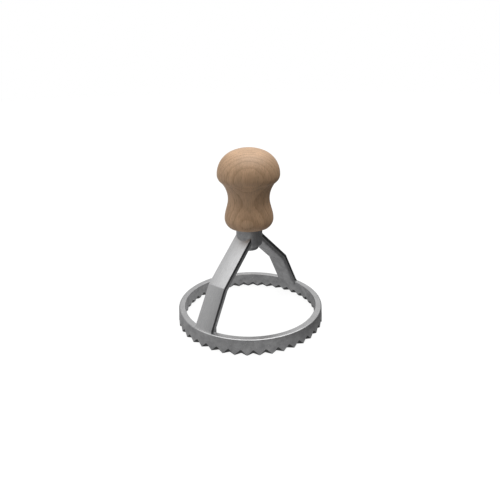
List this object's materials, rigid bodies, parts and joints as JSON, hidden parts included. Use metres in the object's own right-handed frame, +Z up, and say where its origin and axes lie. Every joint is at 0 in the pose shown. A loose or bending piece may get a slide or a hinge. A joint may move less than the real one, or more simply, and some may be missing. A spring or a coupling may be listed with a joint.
{
  "type": "round pastry stamp with knob handle",
  "caption": "Round hand stamp for cutting dough: a toothed aluminium ring under a two-armed bow, pressed down by a turned wooden knob.",
  "frame": {"origin": "centre of the ring in the plane of the cutting edge, on which the stamp stands", "axes": "+Z up along the handle's axis, X along the bow through both arms, Y across the bow"},
  "size_m": [0.086, 0.086, 0.1015],
  "materials": {
    "cast_aluminium": "as-cast and tumbled, with the ring's top face and the arms' outer faces machined bright",
    "beech": "turned and sanded, satin, grain along the axis",
    "screw_steel": "bright zinc plated"
  },
  "bodies": {
    "root": {"cutter_frame": "cast_aluminium", "handle": "beech", "handle_screw": "screw_steel"}
  },
  "joints": []
}
